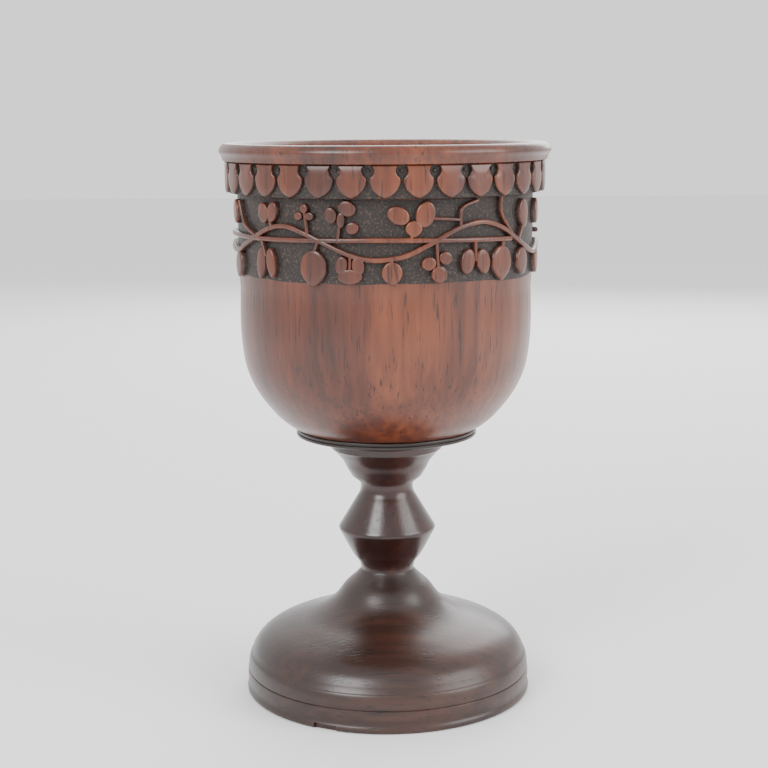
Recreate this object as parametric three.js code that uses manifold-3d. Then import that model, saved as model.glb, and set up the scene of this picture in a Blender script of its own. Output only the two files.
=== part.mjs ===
// Turned and carved wooden goblet, in millimetres, +Z up, standing on z = 0 with the front facing -Y.
// Four turned pieces on one axis: a foot, a stem with a tenon at each end, a thin collar, and a bowl
// whose outside carries a border of pointed pendants over a band of vine and leaves.

import * as THREE from 'three';
import { mergeVertices } from 'three/addons/utils/BufferGeometryUtils.js';
import Module from 'manifold-3d';

const wasm = await Module();
wasm.setup();

// Joints between the pieces
const CLEARANCE = 0.3;
const TENON_RADIUS = 9;
const UPPER_TENON_LENGTH = 5.4;
const LOWER_TENON_RADIUS = 6.2;
const LOWER_TENON_LENGTH = 16;

// Heights of the pieces, each measured from the one below
const FOOT_HEIGHT = 40;
const STEM_LENGTH = 45.2;
const COLLAR_THICKNESS = 2.4;
const BOWL_HEIGHT = 91.2;

// Foot
const FOOT_RADIUS = 46.6;
const FOOT_WAIST_RADIUS = 8.6;
const FOOT_RECESS_RADIUS = 36;
const FOOT_RECESS_DEPTH = 1;
const CHIP_TURN = -25;
const CHIP_WIDTH = 7.7;
const CHIP_HEIGHT = 1.9;
const CHIP_DEPTH = 1.3;

// Stem
const KNOP_RADIUS = 15.8;
const STEM_WAIST_RADIUS = 8.5;
const STEM_TOP_RADIUS = 20;

// Collar
const COLLAR_RADIUS = 29.2;
const COLLAR_GROOVE = 0.5;

// Bowl
const LIP_RADIUS = 52.7;
const CUP_RADIUS = 43.4;
const CUP_DEPTH = 81.8;
const GROUND_RADIUS = 46.8;
const BORDER_GROUND_RADIUS = 49.3;
const BORDER_FOOT = 75.9;
const BORDER_TOP = 85.4;
const RELIEF_ROOT = 1.2;

// Carving: heights are above the bowl's base, turns are degrees round the axis from the front
const PENDANTS = 32;
const PENDANT_LENGTH = 9.4;
const PENDANT_HALF_WIDTH = 4.4;
const PENDANT_HEIGHT = 1.3;
const LEAF_HEIGHT = 1.7;
const VINE_WIDTH = 1.5;
const TWIG_WIDTH = 1.0;

// Facets round each piece
const BOWL_FACETS = 48;
const FOOT_FACETS = 40;
const STEM_FACETS = 28;
const LOBE_POINTS = 7;

const stemBase = FOOT_HEIGHT;
const collarBase = stemBase + STEM_LENGTH;
const bowlBase = collarBase + COLLAR_THICKNESS;

// A closed mesh as a solid for joining and cutting
function solidOf(geometry) {
  const bare = geometry.clone();
  bare.deleteAttribute('normal');
  bare.deleteAttribute('uv');
  const merged = mergeVertices(bare, 1e-4);
  const corners = merged.index.array;
  const kept = [];
  for (let i = 0; i < corners.length; i += 3) {
    const [a, b, c] = corners.slice(i, i + 3);
    if (a !== b && b !== c && c !== a) kept.push(a, b, c);
  }
  return new wasm.Manifold(new wasm.Mesh({
    numProp: 3,
    vertProperties: new Float32Array(merged.attributes.position.array),
    triVerts: new Uint32Array(kept),
  }));
}

// A profile of [radius, height] pairs turned about +Z; it runs up the outside and down the inside
function turned(profile, facets) {
  const points = profile.map(([radius, height]) => new THREE.Vector2(radius, height));
  return solidOf(new THREE.LatheGeometry(points, facets).rotateX(Math.PI / 2));
}

// A smooth run of profile points through the given [radius, height] pairs
function smooth(pairs, steps) {
  const curve = new THREE.SplineCurve(pairs.map(([radius, height]) => new THREE.Vector2(radius, height)));
  return curve.getPoints(steps).map((point) => [point.x, point.y]);
}

// A point on the bowl at an arc distance from the front, a height above its base and a radius
function onBowl(across, height, radius) {
  const angle = across / GROUND_RADIUS;
  return [radius * Math.sin(angle), -radius * Math.cos(angle), height];
}

// Relief: a flat outline wrapped round the bowl, from inside the wall out to its carved face
function wrapped(points, faces, edge, rootRadius, faceRadius) {
  const positions = [];
  for (const radius of [rootRadius, faceRadius]) {
    for (const point of points) positions.push(...onBowl(point.x, point.y, radius));
  }
  const outer = points.length;
  const index = [];
  for (const [a, b, c] of faces) {
    index.push(a + outer, b + outer, c + outer);
    index.push(a, c, b);
  }
  edge.forEach((from, i) => {
    const to = edge[(i + 1) % edge.length];
    index.push(from, to, to + outer, from, to + outer, from + outer);
  });
  const geometry = new THREE.BufferGeometry();
  geometry.setAttribute('position', new THREE.Float32BufferAttribute(positions, 3));
  geometry.setIndex(index);
  return solidOf(geometry);
}

// One lobe of a leaf: an oval that can end in a point at its lower end
function lobe(turn, height, width, length, tilt = 0, pointed = 0) {
  const lean = THREE.MathUtils.degToRad(tilt);
  const centre = THREE.MathUtils.degToRad(turn) * GROUND_RADIUS;
  const points = [];
  for (let i = 0; i < LOBE_POINTS; i += 1) {
    const angle = (2 * Math.PI * (i + 0.5)) / LOBE_POINTS - Math.PI / 2;
    const narrowing = 1 - pointed * Math.max(0, -Math.sin(angle)) ** 2;
    const across = (width / 2) * Math.cos(angle) * narrowing;
    const along = (length / 2) * Math.sin(angle);
    points.push(new THREE.Vector2(
      centre + across * Math.cos(lean) - along * Math.sin(lean),
      height + across * Math.sin(lean) + along * Math.cos(lean),
    ));
  }
  const faces = THREE.ShapeUtils.triangulateShape(points, []);
  return wrapped(points, faces, points.map((_, i) => i), GROUND_RADIUS - RELIEF_ROOT, GROUND_RADIUS + LEAF_HEIGHT);
}

// A stalk of constant width through [turn, height] pairs
function stalk(pairs, width, steps, proud) {
  const knots = pairs.map(([turn, height]) => (
    new THREE.Vector2(THREE.MathUtils.degToRad(turn) * GROUND_RADIUS, height)
  ));
  const curve = new THREE.SplineCurve(knots);
  const points = [];
  for (const side of [-1, 1]) {
    for (let i = 0; i <= steps; i += 1) {
      const along = curve.getTangent(i / steps);
      const offset = new THREE.Vector2(-along.y, along.x).multiplyScalar((side * width) / 2);
      points.push(curve.getPoint(i / steps).add(offset));
    }
  }
  const left = steps + 1;
  const faces = [];
  for (let i = 0; i < steps; i += 1) {
    faces.push([i, i + 1, left + i + 1], [i, left + i + 1, left + i]);
  }
  const lower = Array.from({ length: left }, (_, i) => i);
  const upper = lower.map((i) => left + i).reverse();
  return wrapped(points, faces, [...lower, ...upper], GROUND_RADIUS - RELIEF_ROOT, GROUND_RADIUS + proud);
}

// One pendant of the border, shaped like a pointed shield, with its shoulders cut in round the eyes
function pendant(turn) {
  const centre = THREE.MathUtils.degToRad(turn) * GROUND_RADIUS;
  const shrink = GROUND_RADIUS / BORDER_GROUND_RADIUS;
  const half = PENDANT_HALF_WIDTH * shrink;
  const tip = BORDER_TOP - PENDANT_LENGTH;
  const right = [
    [0.42 * half, tip + 0.09 * PENDANT_LENGTH],
    [0.78 * half, tip + 0.25 * PENDANT_LENGTH],
    [half, tip + 0.52 * PENDANT_LENGTH],
    [0.76 * half, tip + 0.79 * PENDANT_LENGTH],
    [0.76 * half, tip + PENDANT_LENGTH + 0.3],
  ];
  const left = right.map(([across, height]) => [-across, height]).reverse();
  const points = [[0, tip], ...right, ...left].map(([across, height]) => (
    new THREE.Vector2(centre + across, height)
  ));
  const faces = THREE.ShapeUtils.triangulateShape(points, []);
  const face = BORDER_GROUND_RADIUS + PENDANT_HEIGHT;
  return wrapped(points, faces, points.map((_, i) => i), BORDER_GROUND_RADIUS - RELIEF_ROOT, face);
}

// Half of the vine band: turn, height, width, length, tilt and pointedness of every lobe
const LOBES = [
  [-74, 70.5, 5.5, 7.5, 8, 0.5],
  [-70, 54.5, 6.5, 8.5, -10, 0.5],
  [-49.4, 71, 4.6, 6.4, 12, 0.2],
  [-44.4, 71.4, 4.2, 6.4, -14, 0.2],
  [-29.7, 72.8, 2.6, 2.8, 0, 0],
  [-32, 70.6, 2.8, 2.4, 0, 0],
  [-27.5, 70.6, 2.8, 2.4, 0, 0],
  [-19.4, 71, 3.8, 5, 15, 0.1],
  [-13.4, 73, 5.4, 4.6, -30, 0],
  [-11.6, 67.3, 3.9, 3.6, 10, 0],
  [-15.6, 69.6, 2.4, 4.6, 0, 0],
  [4.6, 70.9, 6.8, 5.2, -28, 0],
  [14.2, 71.2, 5.8, 8, -18, 0],
  [10, 67, 5, 5, 0, 0.4],
  [61, 70, 6, 9, 8, 0.4],
  [78, 70, 5.6, 8, -8, 0.4],
  [-51, 56, 4.2, 9.6, -6, 0.3],
  [-45.4, 56.2, 3.8, 9, 8, 0.3],
  [-26.3, 55.4, 8.6, 11, 0, 0.35],
  [-15.6, 56.4, 3.7, 5.6, -8, 0],
  [-9.6, 56.4, 3.7, 5.6, 8, 0],
  [-12.6, 53.2, 7.4, 4.6, 0, 0],
  [2.3, 54.2, 6, 7, 0, 0.25],
  [15.4, 56.8, 4.4, 4, 20, 0],
  [21.6, 58.3, 4.2, 4, -20, 0],
  [19.2, 53.6, 4.9, 5.2, 0, 0.1],
  [30.4, 57, 4.7, 7.6, -10, 0.1],
  [37.2, 56.8, 5, 7.6, 12, 0.1],
  [46.6, 55.8, 8.8, 10.6, 0, 0.6],
  [60, 55.6, 6.8, 8.4, 6, 0.4],
  [78, 54.6, 6.5, 8, -6, 0.5],
];

// The same half's stalks: width, steps and [turn, height] pairs
const STALKS = [
  [VINE_WIDTH, 24, [[-92, 60.2], [-73, 58.4], [-62, 61.4], [-54, 64], [-46, 66.6], [-38.5, 67.4], [-31, 65.8],
    [-24.6, 63.7], [-15.7, 60.4], [-8.7, 58.5], [-1.8, 58], [6.8, 59.1], [13.7, 61.6], [19.1, 63.8],
    [27.5, 67.1], [37.5, 68.4], [47.4, 66.2], [55, 63], [64, 59.6], [73.8, 57.7], [88, 60.2]]],
  [VINE_WIDTH, 12, [[-92, 63.4], [-45, 63.3], [0, 63.8], [52, 62.8]]],
  [TWIG_WIDTH, 4, [[-54, 63.8], [-63.6, 67.4], [-68.8, 74]]],
  [TWIG_WIDTH, 4, [[46.1, 76], [46.4, 70.4], [53.6, 63.6]]],
  [TWIG_WIDTH, 4, [[27.6, 66.8], [28, 72.6], [34.4, 74.8]]],
  [TWIG_WIDTH, 1, [[17, 70], [27, 69.4]]],
  [TWIG_WIDTH, 1, [[-46.4, 70], [-44.6, 66]]],
  [TWIG_WIDTH, 1, [[-29.6, 72], [-28.4, 65]]],
  [TWIG_WIDTH, 1, [[-15.8, 70], [-17, 63]]],
  [TWIG_WIDTH, 1, [[9.6, 68], [9, 63]]],
  [TWIG_WIDTH, 1, [[61, 67], [57, 62]]],
  [TWIG_WIDTH, 1, [[-26.4, 59], [-24.4, 63.4]]],
  [TWIG_WIDTH, 1, [[-48.4, 58], [-51, 63.6]]],
  [TWIG_WIDTH, 1, [[-12.6, 54], [-12.4, 60]]],
  [TWIG_WIDTH, 1, [[2.3, 56], [2, 58.4]]],
  [TWIG_WIDTH, 1, [[18.8, 54], [18.2, 63.4]]],
  [TWIG_WIDTH, 1, [[33.8, 57], [33.6, 63]]],
  [TWIG_WIDTH, 1, [[46.6, 59], [47.6, 63]]],
];

function carving() {
  let relief = null;
  const join = (solid) => { relief = relief ? relief.add(solid) : solid; };
  for (const half of [0, 180]) {
    for (const [turn, ...rest] of LOBES) join(lobe(turn + half, ...rest));
    STALKS.forEach(([width, steps, pairs], i) => {
      const moved = pairs.map(([turn, height]) => [turn + half, height]);
      join(stalk(moved, width, steps, LEAF_HEIGHT - 0.02 * (i + 1)));
    });
  }
  for (let i = 0; i < PENDANTS; i += 1) join(pendant((360 * i) / PENDANTS));
  return relief;
}

function buildBowl() {
  const base = COLLAR_RADIUS - 0.2;
  const mortise = TENON_RADIUS + CLEARANCE;
  const belly = smooth([[base, 0], [32.2, 2], [36, 5.4], [41.2, 12.1], [44.4, 18.8], [45.8, 25.3],
    [46.5, 34], [46.3, 46]], 8);
  const lip = smooth([[51.2, BORDER_TOP + 0.4], [51.6, BORDER_TOP + 1.8], [LIP_RADIUS, BOWL_HEIGHT - 2.2],
    [LIP_RADIUS - 1.2, BOWL_HEIGHT - 0.3], [LIP_RADIUS - 3, BOWL_HEIGHT],
    [LIP_RADIUS - 5, BOWL_HEIGHT - 1.4]], 6);
  const floor = BOWL_HEIGHT - CUP_DEPTH;
  const cup = smooth([[CUP_RADIUS + 1.4, 80], [CUP_RADIUS, 62], [CUP_RADIUS - 0.5, 38], [CUP_RADIUS - 2, 25],
    [CUP_RADIUS - 6, floor + 7.6], [CUP_RADIUS - 14, floor + 2.6], [CUP_RADIUS - 28, floor + 0.5]], 6);
  const profile = [
    [0, UPPER_TENON_LENGTH + CLEARANCE], [mortise, UPPER_TENON_LENGTH + CLEARANCE], [mortise, 0],
    ...belly,
    [GROUND_RADIUS - 0.2, 50], [GROUND_RADIUS, BORDER_FOOT - 0.6], [BORDER_GROUND_RADIUS, BORDER_FOOT],
    [BORDER_GROUND_RADIUS, BORDER_TOP],
    ...lip,
    ...cup,
    [0, floor],
  ];
  return turned(profile, BOWL_FACETS).add(carving());
}

function buildCollar() {
  const bore = TENON_RADIUS + CLEARANCE;
  const inset = COLLAR_RADIUS - COLLAR_GROOVE;
  const profile = [
    [bore, 0], [inset, 0], [COLLAR_RADIUS, 0.3], [COLLAR_RADIUS, 0.9], [inset, 1.1], [inset, 1.3],
    [COLLAR_RADIUS, 1.5], [COLLAR_RADIUS, 2.1], [inset, COLLAR_THICKNESS], [bore, COLLAR_THICKNESS], [bore, 0],
  ];
  return turned(profile, FOOT_FACETS);
}

function buildStem() {
  const knopHeight = 14;
  const waistHeight = STEM_LENGTH - 17.4;
  const profile = [
    [0, -LOWER_TENON_LENGTH], [LOWER_TENON_RADIUS, -LOWER_TENON_LENGTH], [LOWER_TENON_RADIUS, 0],
    ...smooth([[FOOT_WAIST_RADIUS, 0], [8.9, 1.6], [9.6, 3], [11.6, 5.8], [KNOP_RADIUS - 0.5, knopHeight - 1.2]], 7),
    [KNOP_RADIUS, knopHeight],
    ...smooth([[KNOP_RADIUS - 0.6, knopHeight + 1.2], [10.4, 23.2], [8.9, 25.8], [STEM_WAIST_RADIUS, waistHeight],
      [STEM_WAIST_RADIUS + 0.3, waistHeight + 1.4]], 8),
    ...smooth([[11.4, STEM_LENGTH - 13.9], [13, STEM_LENGTH - 11.2], [14.4, STEM_LENGTH - 8.5],
      [17.2, STEM_LENGTH - 5.2]], 5),
    [STEM_TOP_RADIUS - 2, STEM_LENGTH - 4.6], [STEM_TOP_RADIUS - 2, STEM_LENGTH - 2.6],
    [STEM_TOP_RADIUS, STEM_LENGTH - 1], [STEM_TOP_RADIUS, STEM_LENGTH],
    [TENON_RADIUS, STEM_LENGTH], [TENON_RADIUS, STEM_LENGTH + COLLAR_THICKNESS + UPPER_TENON_LENGTH],
    [0, STEM_LENGTH + COLLAR_THICKNESS + UPPER_TENON_LENGTH],
  ];
  return turned(profile, STEM_FACETS);
}

function buildFoot() {
  const mortise = LOWER_TENON_RADIUS + CLEARANCE;
  const floor = FOOT_HEIGHT - LOWER_TENON_LENGTH - CLEARANCE;
  const profile = [
    [0, FOOT_RECESS_DEPTH], [FOOT_RECESS_RADIUS, FOOT_RECESS_DEPTH], [FOOT_RECESS_RADIUS + 1, 0],
    [FOOT_RADIUS - 0.8, 0], [FOOT_RADIUS - 0.1, 0.5], [FOOT_RADIUS, 1.4], [FOOT_RADIUS - 0.5, 2.5],
    [FOOT_RADIUS - 0.5, 3.4], [FOOT_RADIUS - 0.2, 5], [FOOT_RADIUS - 0.3, 7], [FOOT_RADIUS - 0.6, 7.3],
    [FOOT_RADIUS - 0.4, 7.8], [FOOT_RADIUS - 0.6, 10], [FOOT_RADIUS - 1.1, 11.8], [FOOT_RADIUS - 1.6, 12.4],
    ...smooth([[FOOT_RADIUS - 2.1, 14.2], [42.4, 17.2], [38.4, 20.1], [32, 22.8], [24, 25.8], [18, 29.6],
      [14, 34.6], [11, 37.4], [9.4, FOOT_HEIGHT - 1], [FOOT_WAIST_RADIUS, FOOT_HEIGHT]], 9),
    [mortise, FOOT_HEIGHT], [mortise, floor], [0, floor],
  ];
  const chip = new THREE.BoxGeometry(CHIP_WIDTH, 2 * CHIP_DEPTH, 2 * CHIP_HEIGHT)
    .translate(0, -FOOT_RADIUS, 0)
    .rotateZ(THREE.MathUtils.degToRad(CHIP_TURN));
  return turned(profile, FOOT_FACETS).subtract(solidOf(chip));
}

// A named mesh of one piece, standing at its height on the axis
function piece(name, solid, base, color, roughness) {
  const { vertProperties, triVerts } = solid.getMesh();
  const geometry = new THREE.BufferGeometry();
  geometry.setAttribute('position', new THREE.BufferAttribute(vertProperties, 3));
  geometry.setIndex(new THREE.BufferAttribute(triVerts, 1));
  geometry.computeVertexNormals();
  const mesh = new THREE.Mesh(geometry, new THREE.MeshStandardMaterial({ color, roughness, metalness: 0 }));
  mesh.name = name;
  mesh.position.z = base;
  return mesh;
}

const goblet = new THREE.Group();
goblet.add(piece('foot', buildFoot(), 0, 0x3c241c, 0.45));
goblet.add(piece('stem', buildStem(), stemBase, 0x2e0f08, 0.35));
goblet.add(piece('collar', buildCollar(), collarBase, 0x1e1410, 0.4));
goblet.add(piece('bowl', buildBowl(), bowlBase, 0x8a4a2e, 0.4));

export default goblet;
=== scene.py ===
"""A turned and carved wooden goblet: turned pieces, a carved border and vine band, and wood finishes."""

import logging
import math
from dataclasses import dataclass, field
from enum import Enum
import bpy
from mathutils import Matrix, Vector


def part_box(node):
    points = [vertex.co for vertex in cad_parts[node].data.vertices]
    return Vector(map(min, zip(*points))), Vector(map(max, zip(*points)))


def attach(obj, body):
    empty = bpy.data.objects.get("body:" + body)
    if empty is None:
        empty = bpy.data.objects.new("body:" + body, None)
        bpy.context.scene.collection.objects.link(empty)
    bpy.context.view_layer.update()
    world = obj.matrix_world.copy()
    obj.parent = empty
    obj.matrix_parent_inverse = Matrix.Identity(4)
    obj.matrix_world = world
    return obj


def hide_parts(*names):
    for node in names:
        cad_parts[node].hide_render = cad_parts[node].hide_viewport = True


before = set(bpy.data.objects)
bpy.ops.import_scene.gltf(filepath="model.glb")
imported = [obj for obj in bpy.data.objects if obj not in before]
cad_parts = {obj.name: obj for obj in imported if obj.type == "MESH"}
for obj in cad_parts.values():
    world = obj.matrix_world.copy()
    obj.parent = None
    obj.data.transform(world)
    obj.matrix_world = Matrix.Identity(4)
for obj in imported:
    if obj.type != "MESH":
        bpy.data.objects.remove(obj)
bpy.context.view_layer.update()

LOG = logging.getLogger("goblet")
Pair = tuple[float, float]
Colour = tuple[float, float, float]

MM = 0.001
WELD = 1e-6
TURNED_CREASE = math.radians(38)
CARVED_CREASE = math.radians(50)

# Radii and heights above the bowl's base, in millimetres, that the turned body and its carving share.
GROUND = 46.8
BORDER_GROUND = 49.3
BORDER_FOOT = 75.9
BORDER_TOP = 85.4


class Grain(Enum):
    """How a piece's wood was cut: its noises' scale on each axis, small along the fibres."""

    UPRIGHT = (1.0, 1.0, 0.07)
    ACROSS = (0.09, 1.0, 1.0)


@dataclass(frozen=True)
class Noise:
    """A noise texture's scale, per metre, and its octaves."""

    scale: float
    octaves: float


FIGURE = Noise(75, 3)
FIBRES = Noise(420, 4)
PORES = Noise(1250, 2)
PATCHES = Noise(26, 2)
SPECKS = Noise(1500, 2)

FIGURE_SHARE = 0.45
FIBRE_SHARE = 0.3
PATCH_SHARE = 0.25
DARK_STOP, MIDDLE_STOP, LIGHT_STOP = 0.36, 0.5, 0.64
PORE_START, PORE_FULL = 0.60, 0.68
PORE_STRENGTH = 0.75
FIBRE_RELIEF = 0.4
WEAR = 0.22
COAT_ROUGHNESS = 0.22
BUMP_DISTANCE = 0.12 * MM

PIT_STOP, MATTED_STOP, SPECK_STOP = 0.42, 0.56, 0.7
PIT_SHADE = 0.45
SPECK_COLOUR = (0.065, 0.040, 0.028)
MATTED_DULLNESS = 0.4
PUNCH_RELIEF = 4.0


@dataclass(frozen=True)
class Band:
    """Places on the bowl's carved band, in metres."""

    base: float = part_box("bowl")[0][2]
    ground: float = GROUND * MM
    border_ground: float = BORDER_GROUND * MM
    border_foot_rise: float = BORDER_FOOT * MM
    border_top_rise: float = BORDER_TOP * MM
    low_edge_rise: float = 50.5 * MM
    edge_wander: float = 6 * MM
    border_overlap: float = 0.2 * MM
    ground_play: float = 0.75 * MM
    leaf_rise: float = 1.7 * MM
    pendant_rise: float = 1.3 * MM
    root: float = 1.2 * MM

    @property
    def border_foot(self) -> float:
        """The height where the border begins."""
        return self.base + self.border_foot_rise

    @property
    def border_top(self) -> float:
        """The height where the border meets the lip."""
        return self.base + self.border_top_rise

    @property
    def low_edge(self) -> float:
        """The height where the sunk ground fades into the wall."""
        return self.base + self.low_edge_rise


BAND = Band()


class ShaderGraph:
    """A new node material, with short ways to add the nodes that a wood needs."""

    def __init__(self, name: str) -> None:
        """Makes the material.

        Args:
            name: the material's name.
        """
        self.material = bpy.data.materials.new(name)
        self.material.use_nodes = True
        self.nodes = self.material.node_tree.nodes
        self.links = self.material.node_tree.links
        self.shader = self.nodes["Principled BSDF"]

    def math(self, operation: str, first: object, second: object = None) -> bpy.types.NodeSocket:
        """Adds a Math node.

        Args:
            operation: the Math node's operation.
            first: a socket or a number.
            second: a socket, a number, or nothing for an operation on one value.

        Returns:
            The node's output.
        """
        node = self.nodes.new("ShaderNodeMath")
        node.operation = operation
        for socket, value in zip(node.inputs, (first, second)):
            if isinstance(value, bpy.types.NodeSocket):
                self.links.new(value, socket)
            elif value is not None:
                socket.default_value = value
        return node.outputs[0]

    def noise(self, vector: bpy.types.NodeSocket, kind: Noise) -> bpy.types.NodeSocket:
        """Adds a Noise texture.

        Args:
            vector: the coordinates to read.
            kind: the noise's scale and octaves.

        Returns:
            The noise's value.
        """
        node = self.nodes.new("ShaderNodeTexNoise")
        node.inputs["Scale"].default_value = kind.scale
        node.inputs["Detail"].default_value = kind.octaves
        self.links.new(vector, node.inputs["Vector"])
        return node.outputs["Fac"]

    def ramp(self, value: bpy.types.NodeSocket, stops: list[tuple[float, Colour]]) -> bpy.types.NodeSocket:
        """Adds a colour ramp.

        Args:
            value: what the ramp reads.
            stops: each stop's place and colour, in order.

        Returns:
            The ramp's colour.
        """
        node = self.nodes.new("ShaderNodeValToRGB")
        ramp = node.color_ramp
        for element, (position, colour) in zip(ramp.elements, (stops[0], stops[-1])):
            element.position = position
            element.color = (*colour, 1.0)
        for position, colour in stops[1:-1]:
            ramp.elements.new(position).color = (*colour, 1.0)
        self.links.new(value, node.inputs["Fac"])
        return node.outputs["Color"]

    def blend(self, mask: bpy.types.NodeSocket, under: bpy.types.NodeSocket,
              over: object) -> bpy.types.NodeSocket:
        """Mixes two colours by a mask.

        Args:
            mask: how much of the second colour shows.
            under: the first colour.
            over: the second colour, as a socket or three numbers.

        Returns:
            The mixed colour.
        """
        node = self.nodes.new("ShaderNodeMix")
        node.data_type = "RGBA"
        first, second = (socket for socket in node.inputs if socket.type == "RGBA")
        self.links.new(mask, node.inputs[0])
        self.links.new(under, first)
        if isinstance(over, bpy.types.NodeSocket):
            self.links.new(over, second)
        else:
            second.default_value = (*over, 1.0)
        return next(socket for socket in node.outputs if socket.type == "RGBA")

    def carved_ground(self, place: bpy.types.NodeSocket,
                      wander: bpy.types.NodeSocket) -> bpy.types.NodeSocket:
        """Masks the sunk ground of the carving, by radius and height.

        Args:
            place: object coordinates.
            wander: a noise that makes the band's lower edge uneven.

        Returns:
            1 on the ground and 0 elsewhere.
        """
        split = self.nodes.new("ShaderNodeSeparateXYZ")
        self.links.new(place, split.inputs[0])
        east = self.math("MULTIPLY", split.outputs[0], split.outputs[0])
        north = self.math("MULTIPLY", split.outputs[1], split.outputs[1])
        radius = self.math("SQRT", self.math("ADD", east, north))
        height = split.outputs[2]
        border = self.math("GREATER_THAN", height, BAND.border_foot - BAND.border_overlap)
        limit = self.math("MULTIPLY", border, BAND.border_ground - BAND.ground)
        limit = self.math("ADD", limit, BAND.ground + BAND.ground_play)
        sunk = self.math("LESS_THAN", radius, limit)
        outside = self.math("GREATER_THAN", radius, BAND.ground - BAND.root)
        low = self.math("MULTIPLY", wander, BAND.edge_wander)
        low = self.math("ADD", low, BAND.low_edge - BAND.edge_wander / 2)
        above = self.math("GREATER_THAN", height, low)
        below = self.math("LESS_THAN", height, BAND.border_top)
        mask = self.math("MULTIPLY", sunk, outside)
        mask = self.math("MULTIPLY", mask, above)
        return self.math("MULTIPLY", mask, below)


@dataclass(frozen=True)
class WoodFinish:
    """A polished wood: its colours from pore to light figure, its gloss and how it was cut."""

    name: str
    pore: Colour
    dark: Colour
    middle: Colour
    light: Colour
    roughness: float
    coat: float
    grain: Grain
    bump: float = 0.25
    carved: bool = False
    ground: Colour = (0.018, 0.010, 0.007)

    def build(self) -> bpy.types.Material:
        """Makes the finish's node material.

        Returns:
            The material.
        """
        graph = ShaderGraph(f"polished_{self.name}")
        shader = graph.shader
        shader.inputs["Coat Weight"].default_value = self.coat
        shader.inputs["Coat Roughness"].default_value = COAT_ROUGHNESS
        place = graph.nodes.new("ShaderNodeTexCoord").outputs["Object"]
        stretch = graph.nodes.new("ShaderNodeMapping")
        stretch.inputs["Scale"].default_value = self.grain.value
        graph.links.new(place, stretch.inputs["Vector"])
        along_fibres = stretch.outputs["Vector"]
        figure = graph.noise(along_fibres, FIGURE)
        fibre = graph.noise(along_fibres, FIBRES)
        pores = graph.noise(along_fibres, PORES)
        patch = graph.noise(place, PATCHES)

        mixed = graph.math("MULTIPLY", figure, FIGURE_SHARE)
        mixed = graph.math("ADD", mixed, graph.math("MULTIPLY", fibre, FIBRE_SHARE))
        mixed = graph.math("ADD", mixed, graph.math("MULTIPLY", patch, PATCH_SHARE))
        stops = [(DARK_STOP, self.dark), (MIDDLE_STOP, self.middle), (LIGHT_STOP, self.light)]
        colour = graph.ramp(mixed, stops)
        open_pore = graph.nodes.new("ShaderNodeMapRange")
        open_pore.inputs["From Min"].default_value = PORE_START
        open_pore.inputs["From Max"].default_value = PORE_FULL
        graph.links.new(pores, open_pore.inputs["Value"])
        pore_mask = open_pore.outputs["Result"]
        colour = graph.blend(graph.math("MULTIPLY", pore_mask, PORE_STRENGTH), colour, self.pore)

        worn = graph.math("MULTIPLY", patch, WEAR)
        rough = graph.math("ADD", worn, self.roughness - WEAR / 2)
        depth = graph.math("MULTIPLY", pore_mask, -1.0)
        depth = graph.math("ADD", depth, graph.math("MULTIPLY", fibre, FIBRE_RELIEF))
        if self.carved:
            mask = graph.carved_ground(place, patch)
            speck = graph.noise(place, SPECKS)
            pit = tuple(PIT_SHADE * part for part in self.ground)
            stops = [(PIT_STOP, pit), (MATTED_STOP, self.ground), (SPECK_STOP, SPECK_COLOUR)]
            matted = graph.ramp(speck, stops)
            colour = graph.blend(mask, colour, matted)
            rough = graph.math("ADD", rough, graph.math("MULTIPLY", mask, MATTED_DULLNESS))
            struck = graph.math("MULTIPLY", graph.math("MULTIPLY", speck, PUNCH_RELIEF), mask)
            depth = graph.math("ADD", depth, struck)

        bump = graph.nodes.new("ShaderNodeBump")
        bump.inputs["Strength"].default_value = self.bump
        bump.inputs["Distance"].default_value = BUMP_DISTANCE
        graph.links.new(depth, bump.inputs["Height"])
        graph.links.new(bump.outputs["Normal"], shader.inputs["Normal"])
        graph.links.new(colour, shader.inputs["Base Color"])
        graph.links.new(rough, shader.inputs["Roughness"])
        return graph.material


BOWL_WOOD = WoodFinish(
    name="bowl_wood",
    pore=(0.010, 0.003, 0.002),
    dark=(0.034, 0.007, 0.003),
    middle=(0.088, 0.018, 0.006),
    light=(0.17, 0.042, 0.014),
    roughness=0.34,
    coat=0.25,
    grain=Grain.UPRIGHT,
    carved=True,
)
COLLAR_WOOD = WoodFinish(
    name="collar_wood",
    pore=(0.004, 0.002, 0.002),
    dark=(0.007, 0.004, 0.003),
    middle=(0.013, 0.006, 0.004),
    light=(0.022, 0.011, 0.008),
    roughness=0.36,
    coat=0.15,
    grain=Grain.ACROSS,
)
STEM_WOOD = WoodFinish(
    name="stem_wood",
    pore=(0.004, 0.001, 0.001),
    dark=(0.010, 0.002, 0.001),
    middle=(0.022, 0.004, 0.002),
    light=(0.042, 0.009, 0.004),
    roughness=0.28,
    coat=0.3,
    grain=Grain.UPRIGHT,
)
FOOT_WOOD = WoodFinish(
    name="foot_wood",
    pore=(0.005, 0.002, 0.002),
    dark=(0.010, 0.003, 0.002),
    middle=(0.022, 0.007, 0.004),
    light=(0.048, 0.016, 0.009),
    roughness=0.36,
    coat=0.2,
    grain=Grain.ACROSS,
)


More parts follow.
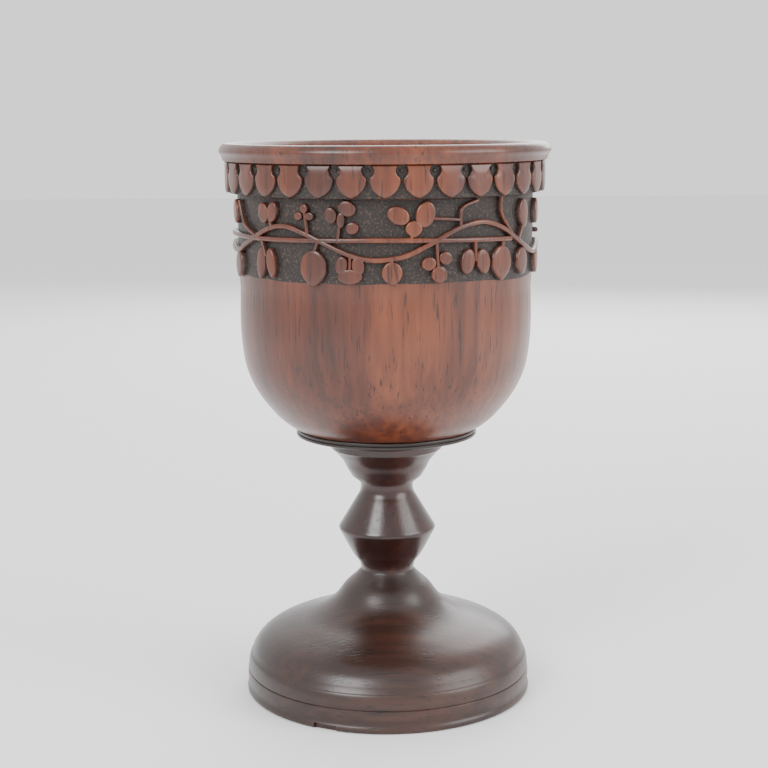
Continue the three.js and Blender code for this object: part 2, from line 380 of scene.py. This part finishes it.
def smooth(pairs: list[Pair], steps: int) -> list[Pair]:
    """A smooth run of points through a profile's pairs.

    Args:
        pairs: radius and height of each point to pass through.
        steps: how many stretches the run has between two pairs.

    Returns:
        The run's points.
    """
    ends = [pairs[0], *pairs, pairs[-1]]
    points = []
    for before, start, stop, after in zip(ends, ends[1:], ends[2:], ends[3:]):
        for step in range(steps):
            t = step / steps
            point = []
            for a, b, c, d in zip(before, start, stop, after):
                curve = (2 * a - 5 * b + 4 * c - d) * t**2 + (3 * b - a - 3 * c + d) * t**3
                point.append(0.5 * (2 * b + (c - a) * t + curve))
            points.append(tuple(point))
    points.append(pairs[-1])
    return points


def turn(name: str, profile: list[Pair], base: float, sides: int) -> bpy.types.Object:
    """Turns a profile about the axis, as on a lathe.

    Args:
        name: the new object's name.
        profile: radius and height pairs in millimetres, in order round the section.
        base: the height that the profile's zero stands on, in metres.
        sides: facets round the axis.

    Returns:
        The turned object.
    """
    bpy.ops.object.select_all(action="DESELECT")
    radius, height = profile[0]
    bpy.ops.mesh.primitive_plane_add(size=MM, location=(0, 0, 0))
    piece = bpy.context.object
    piece.name = name
    bpy.ops.object.mode_set(mode="EDIT")
    bpy.ops.mesh.select_all(action="SELECT")
    bpy.ops.mesh.merge(type="CENTER")
    bpy.ops.transform.translate(value=(radius * MM, 0, height * MM + base))
    for next_radius, next_height in profile[1:]:
        step = ((next_radius - radius) * MM, 0, (next_height - height) * MM)
        bpy.ops.mesh.extrude_vertices_move(TRANSFORM_OT_translate={"value": step})
        radius, height = next_radius, next_height
    bpy.ops.mesh.select_all(action="SELECT")
    bpy.ops.mesh.spin(steps=sides, angle=2 * math.pi, center=(0, 0, 0), axis=(0, 0, 1))
    bpy.ops.mesh.select_all(action="SELECT")
    bpy.ops.mesh.remove_doubles(threshold=WELD)
    bpy.ops.mesh.normals_make_consistent(inside=False)
    bpy.ops.object.mode_set(mode="OBJECT")
    bpy.ops.object.shade_smooth_by_angle(angle=TURNED_CREASE)
    return piece


def finish_piece(piece: bpy.types.Object, node: str, finish: WoodFinish) -> None:
    """Dresses a piece, sets it on the goblet's body in a node's place and reports it.

    Args:
        piece: the finished object.
        node: the node that it stands for.
        finish: its wood.
    """
    piece.data.materials.clear()
    piece.data.materials.append(finish.build())
    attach(piece, "root")
    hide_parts(node)
    LOG.info("%s: %d faces", piece.name, len(piece.data.polygons))


@dataclass(frozen=True)
class Lobe:
    """One domed lobe of a leaf, with its place and size on the bowl.

    Args:
        turned: degrees round the bowl from the front.
        height: millimetres above the bowl's base.
        width: millimetres across.
        length: millimetres along.
        tilt: its lean in degrees.
        pointed: how sharply its lower end narrows.
    """

    turned: float
    height: float
    width: float
    length: float
    tilt: float
    pointed: float


@dataclass
class Carving:
    """The border of pendants over the vine band, wrapped round the bowl in relief.

    Its points are worked out here, because no modelling operator wraps an outline round the bowl.
    Places are given as degrees round the bowl and millimetres above its base. The back of the band
    repeats its front half.
    """

    pendants: int = 32
    lobes: list[tuple[float, ...]] = field(default_factory=lambda: [
        (-74, 70.5, 5.5, 7.5, 8, 0.5), (-70, 54.5, 6.5, 8.5, -10, 0.5), (-49.4, 71, 4.6, 6.4, 12, 0.2),
        (-44.4, 71.4, 4.2, 6.4, -14, 0.2), (-29.7, 72.8, 2.6, 2.8, 0, 0), (-32, 70.6, 2.8, 2.4, 0, 0),
        (-27.5, 70.6, 2.8, 2.4, 0, 0), (-19.4, 71, 3.8, 5, 15, 0.1), (-13.4, 73, 5.4, 4.6, -30, 0),
        (-11.6, 67.3, 3.9, 3.6, 10, 0), (-15.6, 69.6, 2.4, 4.6, 0, 0), (4.6, 70.9, 6.8, 5.2, -28, 0),
        (14.2, 71.2, 5.8, 8, -18, 0), (10, 67, 5, 5, 0, 0.4), (61, 70, 6, 9, 8, 0.4),
        (78, 70, 5.6, 8, -8, 0.4), (-51, 56, 4.2, 9.6, -6, 0.3), (-45.4, 56.2, 3.8, 9, 8, 0.3),
        (-26.3, 55.4, 8.6, 11, 0, 0.35), (-15.6, 56.4, 3.7, 5.6, -8, 0), (-9.6, 56.4, 3.7, 5.6, 8, 0),
        (-12.6, 53.2, 7.4, 4.6, 0, 0), (2.3, 54.2, 6, 7, 0, 0.25), (15.4, 56.8, 4.4, 4, 20, 0),
        (21.6, 58.3, 4.2, 4, -20, 0), (19.2, 53.6, 4.9, 5.2, 0, 0.1), (30.4, 57, 4.7, 7.6, -10, 0.1),
        (37.2, 56.8, 5, 7.6, 12, 0.1), (46.6, 55.8, 8.8, 10.6, 0, 0.6), (60, 55.6, 6.8, 8.4, 6, 0.4),
        (78, 54.6, 6.5, 8, -6, 0.5),
    ])
    vine: list[Pair] = field(default_factory=lambda: [
        (-92, 60.2), (-73, 58.4), (-62, 61.4), (-54, 64), (-46, 66.6), (-38.5, 67.4), (-31, 65.8),
        (-24.6, 63.7), (-15.7, 60.4), (-8.7, 58.5), (-1.8, 58), (6.8, 59.1), (13.7, 61.6), (19.1, 63.8),
        (27.5, 67.1), (37.5, 68.4), (47.4, 66.2), (55, 63), (64, 59.6), (73.8, 57.7), (88, 60.2),
    ])
    rod: list[Pair] = field(default_factory=lambda: [
        (-92, 63.4), (-68, 63.3), (-45, 63.3), (-22, 63.6), (0, 63.8), (26, 63.4), (52, 62.8),
    ])
    twigs: list[list[Pair]] = field(default_factory=lambda: [
        [(-54, 63.8), (-63.6, 67.4), (-68.8, 74)], [(46.1, 76), (46.4, 70.4), (53.6, 63.6)],
        [(27.6, 66.8), (28, 72.6), (34.4, 74.8)], [(17, 70), (27, 69.4)], [(-46.4, 70), (-44.6, 66)],
        [(-29.6, 72), (-28.4, 65)], [(-15.8, 70), (-17, 63)], [(9.6, 68), (9, 63)],
        [(61, 67), (57, 62)], [(-26.4, 59), (-24.4, 63.4)], [(-48.4, 58), (-51, 63.6)],
        [(-12.6, 54), (-12.4, 60)], [(2.3, 56), (2, 58.4)], [(18.8, 54), (18.2, 63.4)],
        [(33.8, 57), (33.6, 63)], [(46.6, 59), (47.6, 63)],
    ])
    vine_width: float = 1.5
    twig_width: float = 1.0
    stalk_steps: int = 8
    lobe_points: int = 28
    pendant_half: float = 4.4
    eye_radius: float = 0.55
    eye_height: float = 84.0
    eye_points: int = 10
    points: list[Vector] = field(default_factory=list)
    faces: list[list[int]] = field(default_factory=list)

    def _place(self, across: float, height: float, radius: float) -> Vector:
        """A point on the bowl.

        Args:
            across: arc distance from the front on the ground, in millimetres.
            height: millimetres above the bowl's base.
            radius: distance from the axis, in metres.

        Returns:
            The point.
        """
        angle = across * MM / BAND.ground
        return Vector((radius * math.sin(angle), -radius * math.cos(angle), BAND.base + height * MM))

    def _arc(self, turned: float) -> float:
        """The arc distance in millimetres on the ground of a turn in degrees.

        Args:
            turned: degrees round the bowl from the front.

        Returns:
            The distance.
        """
        return math.radians(turned) * BAND.ground / MM

    def _raise_rings(self, outline: list[Pair], root: float, rings: list[Pair]) -> None:
        """Raises a shape from its outline: a wall, then rings drawn in towards its middle.

        Args:
            outline: across and height pairs, counter-clockwise from outside.
            root: the radius of the wall's foot, in metres.
            rings: share of the outline's size, and radius in metres, of each ring above the wall.
        """
        middle = tuple(sum(part) / len(outline) for part in zip(*outline))
        levels = [(1.0, root), *rings]
        first = len(self.points)
        count = len(outline)
        for share, radius in levels:
            for across, height in outline:
                self.points.append(self._place(middle[0] + (across - middle[0]) * share,
                                               middle[1] + (height - middle[1]) * share, radius))
        for level in range(len(levels) - 1):
            low = first + level * count
            for i in range(count):
                j = (i + 1) % count
                self.faces.append([low + i, low + j, low + count + j, low + count + i])
        self.faces.append([first + i for i in reversed(range(count))])
        top = first + (len(levels) - 1) * count
        self.faces.append([top + i for i in range(count)])

    def _lobe(self, lobe: Lobe) -> None:
        """Adds one domed lobe of a leaf.

        Args:
            lobe: its place and size.
        """
        lean = math.radians(lobe.tilt)
        centre = self._arc(lobe.turned)
        outline = []
        for i in range(self.lobe_points):
            angle = 2 * math.pi * (i + 0.5) / self.lobe_points - math.pi / 2
            narrow = 1 - lobe.pointed * max(0.0, -math.sin(angle)) ** 2
            across = lobe.width / 2 * math.cos(angle) * narrow
            along = lobe.length / 2 * math.sin(angle)
            outline.append((centre + across * math.cos(lean) - along * math.sin(lean),
                            lobe.height + across * math.sin(lean) + along * math.cos(lean)))
        face = BAND.ground + BAND.leaf_rise
        falls = [(0.985, 0.45), (0.93, 0.16), (0.82, 0.03), (0.5, 0.02), (0.15, 0.0)]
        dome = [(share, face - fall * MM) for share, fall in falls]
        self._raise_rings(outline, BAND.ground - BAND.root, dome)

    def _stalk(self, pairs: list[Pair], width: float, proud: float) -> None:
        """Adds a rounded stalk through its pairs.

        Args:
            pairs: turns in degrees and heights in millimetres.
            width: millimetres across.
            proud: how far its back stands above the ground, in metres.
        """
        centre_line = smooth([(self._arc(turned), height) for turned, height in pairs], self.stalk_steps)
        wall, shoulder = proud - 0.5 * MM, proud - 0.16 * MM
        section = [(-0.5, -BAND.root), (-0.5, wall), (-0.36, shoulder), (0.0, proud),
                   (0.36, shoulder), (0.5, wall), (0.5, -BAND.root)]
        first = len(self.points)
        count = len(section)
        for i, (across, height) in enumerate(centre_line):
            ahead = centre_line[min(i + 1, len(centre_line) - 1)]
            behind = centre_line[max(i - 1, 0)]
            run = Vector((ahead[0] - behind[0], ahead[1] - behind[1])).normalized()
            for share, rise in section:
                self.points.append(self._place(across - run.y * share * width,
                                               height + run.x * share * width, BAND.ground + rise))
        for i in range(len(centre_line) - 1):
            near, far = first + i * count, first + (i + 1) * count
            for j in range(count):
                k = (j + 1) % count
                self.faces.append([near + j, far + j, far + k, near + k])
        self.faces.append([first + j for j in range(count)])
        last = first + (len(centre_line) - 1) * count
        self.faces.append([last + j for j in reversed(range(count))])

    def _pendant(self, turned: float) -> None:
        """Adds one pointed shield of the border.

        Args:
            turned: degrees round the bowl from the front.
        """
        centre = self._arc(turned)
        half = self.pendant_half * BAND.ground / BAND.border_ground
        belly = smooth([(0.0, 76.0), (0.42, 76.85), (0.78, 78.35), (0.98, 80.3), (1.0, 81.4),
                        (0.93, 82.1)], 2)
        shoulder = [(0.8, 82.6), (0.72, 83.3), (0.7, 84.1), (0.76, 84.9), (0.86, 85.6)]
        right = [(share * half, height) for share, height in [*belly, *shoulder]]
        outline = right + [(-across, height) for across, height in reversed(right[1:])]
        outline = [(centre + across, height) for across, height in outline]
        face = BAND.border_ground + BAND.pendant_rise
        self._raise_rings(outline, BAND.border_ground - BAND.root,
                          [(1.0, face - 0.4 * MM), (0.97, face - 0.12 * MM), (0.9, face), (0.4, face)])

    def _eye(self, turned: float) -> None:
        """Adds the round dot between two pendants.

        Args:
            turned: degrees round the bowl from the front.
        """
        centre = self._arc(turned)
        outline = []
        for i in range(self.eye_points):
            angle = 2 * math.pi * i / self.eye_points
            outline.append((centre + self.eye_radius * math.cos(angle),
                            self.eye_height + self.eye_radius * math.sin(angle)))
        ground = BAND.border_ground
        dome = [(1.0, ground + 0.25 * MM), (0.6, ground + 0.45 * MM)]
        self._raise_rings(outline, ground - 0.3 * MM, dome)

    def build(self) -> bpy.types.Object:
        """Makes the whole relief as one object.

        Returns:
            The relief.
        """
        stalks = [(line, self.vine_width) for line in (self.vine, self.rod)]
        stalks += [(twig, self.twig_width) for twig in self.twigs]
        for half in (0, 180):
            for turned, *rest in self.lobes:
                self._lobe(Lobe(turned + half, *rest))
            for line, width in stalks:
                self._stalk([(turned + half, height) for turned, height in line], width, BAND.leaf_rise)
        for i in range(self.pendants):
            self._pendant(360 * i / self.pendants)
            self._eye(360 * (i + 0.5) / self.pendants)
        mesh = bpy.data.meshes.new("carving")
        mesh.from_pydata(self.points, [], self.faces)
        relief = bpy.data.objects.new("carving", mesh)
        bpy.context.collection.objects.link(relief)
        bpy.ops.object.select_all(action="DESELECT")
        bpy.context.view_layer.objects.active = relief
        relief.select_set(True)
        bpy.ops.object.shade_smooth_by_angle(angle=CARVED_CREASE)
        return relief


@dataclass
class Bowl:
    """The bowl: its turned body and the carving joined to it, in millimetres."""

    height: float = 91.05
    lip: float = 52.42
    cup: float = 43.4
    floor: float = 9.4
    mortise: float = 9.3
    mortise_depth: float = 5.7
    sides: int = 144

    def build(self) -> bpy.types.Object:
        """Turns the body and joins the carving to it.

        Returns:
            The bowl.
        """
        belly = smooth([(29, 0), (32.2, 2), (36, 5.4), (41.2, 12.1), (44.4, 18.8), (45.8, 25.3),
                        (46.5, 34), (46.3, 46)], 5)
        band = [(46.6, 50), (GROUND, 75.3), (BORDER_GROUND, BORDER_FOOT), (BORDER_GROUND, BORDER_TOP)]
        rim = smooth([(51.2, 85.8), (51.6, 87.2), (self.lip, self.height - 2.2),
                      (self.lip - 1.2, self.height - 0.3), (self.lip - 3, self.height),
                      (self.lip - 5, self.height - 1.4)], 4)
        inside = smooth([(self.cup + 1.4, 80), (self.cup, 62), (self.cup - 0.5, 38), (self.cup - 2, 25),
                         (self.cup - 6, self.floor + 7.6), (self.cup - 14, self.floor + 2.6),
                         (self.cup - 28, self.floor + 0.5)], 4)
        profile = [(0, self.mortise_depth), (self.mortise, self.mortise_depth), (self.mortise, 0),
                   *belly, *band, *rim, *inside, (0, self.floor)]
        body = turn("carved_bowl", profile, BAND.base, self.sides)
        relief = Carving().build()
        body.select_set(True)
        relief.select_set(True)
        bpy.context.view_layer.objects.active = body
        bpy.ops.object.join()
        finish_piece(body, "bowl", BOWL_WOOD)
        return body


@dataclass
class Collar:
    """The thin dark collar with a groove between its two lips, in millimetres."""

    radius: float = 29.2
    bore: float = 9.3
    thickness: float = 2.4
    groove: float = 0.5
    rounding: float = 0.1
    sides: int = 128

    def build(self) -> bpy.types.Object:
        """Turns the collar.

        Returns:
            The collar.
        """
        inset = self.radius - self.groove
        shoulder = self.radius - self.rounding
        lower_lip = [(inset, 0), (shoulder, 0.15), (self.radius, 0.5), (shoulder, 0.9), (inset, 1.1)]
        upper_lip = [(inset, 1.3), (shoulder, 1.5), (self.radius, 1.8), (shoulder, 2.1),
                     (inset, self.thickness)]
        profile = [(self.bore, 0), *lower_lip, *upper_lip, (self.bore, self.thickness), (self.bore, 0)]
        piece = turn("turned_collar", profile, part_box("collar")[0][2], self.sides)
        finish_piece(piece, "collar", COLLAR_WOOD)
        return piece


@dataclass
class Stem:
    """The stem: a two-cone knop between two waists, a flaring top and two tenons, in millimetres."""

    length: float = 45.2
    knop: float = 15.8
    lower_tenon: float = 16.0
    lower_tenon_radius: float = 6.2
    upper_tenon: float = 7.8
    upper_tenon_radius: float = 9.0
    sides: int = 112

    def build(self) -> bpy.types.Object:
        """Turns the stem.

        Returns:
            The stem.
        """
        top = self.length
        tip = top + self.upper_tenon
        lower = smooth([(8.6, 0), (8.9, 1.6), (9.6, 3), (11.6, 5.8), (self.knop - 0.5, 12.8)], 5)
        edge = [(self.knop - 0.12, 13.5), (self.knop, 14), (self.knop - 0.12, 14.5)]
        upper = smooth([(self.knop - 0.6, 15.2), (10.4, 23.2), (8.9, 25.8), (8.5, top - 17.4),
                        (8.8, top - 16)], 5)
        flare = smooth([(11.4, top - 13.9), (13, top - 11.2), (14.4, top - 8.5), (17.2, top - 5.2)], 4)
        shoulder = [(18, top - 4.6), (18, top - 2.6), (20, top - 1), (20, top)]
        profile = [(0, -self.lower_tenon), (self.lower_tenon_radius, -self.lower_tenon),
                   (self.lower_tenon_radius, 0), *lower, *edge, *upper, *flare, *shoulder,
                   (self.upper_tenon_radius, top), (self.upper_tenon_radius, tip), (0, tip)]
        piece = turn("turned_stem", profile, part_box("stem")[0][2] + self.lower_tenon * MM, self.sides)
        finish_piece(piece, "stem", STEM_WOOD)
        return piece


@dataclass
class Foot:
    """The domed foot with a moulded edge, a recess below and a chipped lower edge, in millimetres."""

    radius: float = 46.6
    height: float = 40.0
    recess: float = 36.0
    recess_depth: float = 1.0
    mortise: float = 6.5
    mortise_floor: float = 23.7
    sides: int = 160
    chip_turn: float = -25.0
    chip_size: tuple[float, float, float] = (7.7, 2.6, 3.8)

    def build(self) -> bpy.types.Object:
        """Turns the foot and cuts the chip.

        Returns:
            The foot.
        """
        r = self.radius
        below = [(0, self.recess_depth), (self.recess, self.recess_depth), (self.recess + 1, 0)]
        edge = smooth([(r - 0.8, 0), (r - 0.1, 0.5), (r, 1.4), (r - 0.5, 2.5)], 3)
        torus = smooth([(r - 0.5, 3.4), (r - 0.2, 5), (r - 0.3, 7), (r - 0.6, 7.3)], 3)
        ovolo = smooth([(r - 0.4, 7.8), (r - 0.6, 10), (r - 1.1, 11.8), (r - 1.6, 12.4)], 3)
        dome = smooth([(r - 2.1, 14.2), (42.4, 17.2), (38.4, 20.1), (32, 22.8), (24, 25.8), (18, 29.6),
                       (14, 34.6), (11, 37.4), (9.4, 39), (8.6, self.height)], 5)
        socket = [(self.mortise, self.height), (self.mortise, self.mortise_floor), (0, self.mortise_floor)]
        piece = turn("turned_foot", [*below, *edge, *torus, *ovolo, *dome, *socket], 0.0, self.sides)
        self._chip(piece)
        finish_piece(piece, "foot", FOOT_WOOD)
        return piece

    def _chip(self, piece: bpy.types.Object) -> None:
        """Cuts a shallow chip out of the lower edge of the foot.

        Args:
            piece: the turned foot.
        """
        angle = math.radians(self.chip_turn)
        bpy.ops.object.select_all(action="DESELECT")
        place = (self.radius * MM * math.sin(angle), -self.radius * MM * math.cos(angle), 0)
        bpy.ops.mesh.primitive_cube_add(size=1, location=place, rotation=(0, 0, angle))
        cutter = bpy.context.object
        cutter.scale = tuple(length * MM for length in self.chip_size)
        cut = piece.modifiers.new("chip", "BOOLEAN")
        cut.object = cutter
        cut.operation = "DIFFERENCE"
        bpy.ops.object.select_all(action="DESELECT")
        piece.select_set(True)
        bpy.context.view_layer.objects.active = piece
        bpy.ops.object.modifier_apply(modifier=cut.name)
        bpy.data.objects.remove(cutter)


@dataclass
class Studio:
    """The floor, the soft lights and the camera, in metres and degrees."""

    floor_size: float = 6.0
    floor_grey: float = 0.88
    floor_roughness: float = 0.9
    room_strength: float = 1.3
    aim_height: float = 0.1
    distance: float = 0.5156
    camera_height: float = 0.1890
    pitch: float = 9.67
    lean: float = -0.35
    lens: float = 75.68
    sensor: float = 36.0
    shift: float = -0.0029
    near_clip: float = 0.01

    def build(self) -> None:
        """Sets up the stage."""
        self._floor()
        world = bpy.data.worlds.new("soft_room")
        world.use_nodes = True
        background = world.node_tree.nodes["Background"]
        background.inputs["Color"].default_value = (1, 1, 1, 1)
        background.inputs["Strength"].default_value = self.room_strength
        bpy.context.scene.world = world
        self._light("key", place=(-0.55, -0.75, 0.75), size=0.5, power=9)
        self._light("fill", place=(0.8, -0.35, 0.5), size=0.6, power=6)
        self._light("back", place=(0.15, 0.9, 0.6), size=0.8, power=8)
        self._camera()

    def _floor(self) -> None:
        """Lays the pale floor."""
        bpy.ops.object.select_all(action="DESELECT")
        bpy.ops.mesh.primitive_plane_add(size=self.floor_size, location=(0, 0, 0))
        floor = bpy.context.object
        floor.name = "floor"
        pale = bpy.data.materials.new("pale_floor")
        pale.use_nodes = True
        shader = pale.node_tree.nodes["Principled BSDF"]
        shader.inputs["Base Color"].default_value = (self.floor_grey, self.floor_grey, self.floor_grey, 1)
        shader.inputs["Roughness"].default_value = self.floor_roughness
        floor.data.materials.append(pale)

    def _light(self, name: str, place: tuple[float, float, float], size: float, power: float) -> None:
        """Adds one soft area light that faces the goblet.

        Args:
            name: the light's name.
            place: where it stands.
            size: its side in metres.
            power: its power in watts.
        """
        lamp = bpy.data.lights.new(name, "AREA")
        lamp.size = size
        lamp.energy = power
        holder = bpy.data.objects.new(name, lamp)
        bpy.context.collection.objects.link(holder)
        holder.location = place
        aim = Vector((0, 0, self.aim_height)) - Vector(place)
        holder.rotation_euler = aim.to_track_quat("-Z", "Y").to_euler()

    def _camera(self) -> None:
        """Sets up the camera in front of the goblet, looking a little down."""
        camera = bpy.data.cameras.new("camera")
        camera.lens = self.lens
        camera.sensor_width = self.sensor
        camera.shift_x = self.shift
        camera.clip_start = self.near_clip
        view = bpy.data.objects.new("camera", camera)
        bpy.context.collection.objects.link(view)
        view.location = (0, -self.distance, self.camera_height)
        down = math.radians(self.pitch)
        aim = Vector((0, math.cos(down), -math.sin(down)))
        facing = aim.to_track_quat("-Z", "Y").to_matrix().to_4x4()
        roll = view.matrix_world.Rotation(math.radians(self.lean), 4, "Z")
        view.rotation_euler = (facing @ roll).to_euler()
        bpy.context.scene.camera = view


def main() -> None:
    """Builds the goblet and its stage."""
    logging.basicConfig(level=logging.INFO)
    Studio().build()
    for part in (Foot(), Stem(), Collar(), Bowl()):
        part.build()


if __name__ == "__main__":
    main()
